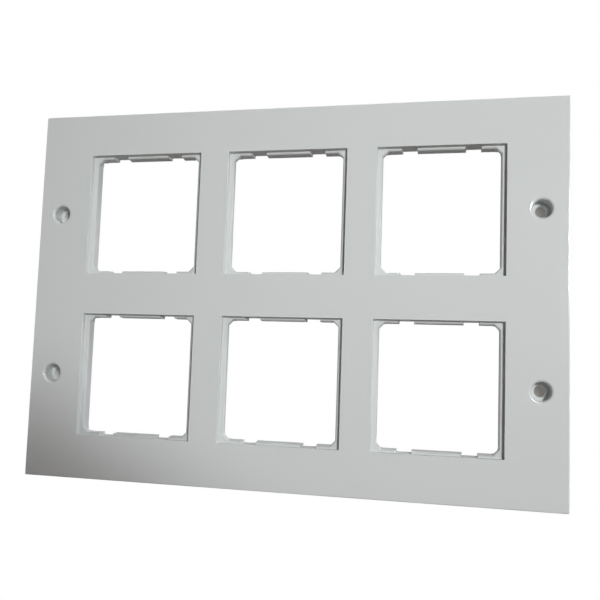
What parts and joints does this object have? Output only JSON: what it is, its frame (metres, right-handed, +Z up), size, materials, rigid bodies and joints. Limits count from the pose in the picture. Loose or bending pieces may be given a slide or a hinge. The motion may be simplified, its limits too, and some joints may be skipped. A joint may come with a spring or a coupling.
{
  "type": "switch plate",
  "caption": "Flat rectangular wall plate with a grid of square windows for snap-in wiring modules, recessed screw holes at the sides and a hollow ribbed back.",
  "frame": {"origin": "centre of the screw pattern, in the plane where the back rim meets the wall", "axes": "+X to the right seen from the front, +Z up, +Y into the wall; the front faces -Y"},
  "size_m": [0.197, 0.009, 0.1396],
  "materials": {
    "plate_plastic": "glossy moulded light grey"
  },
  "bodies": {
    "root": {"switch_plate": "plate_plastic"}
  },
  "joints": []
}
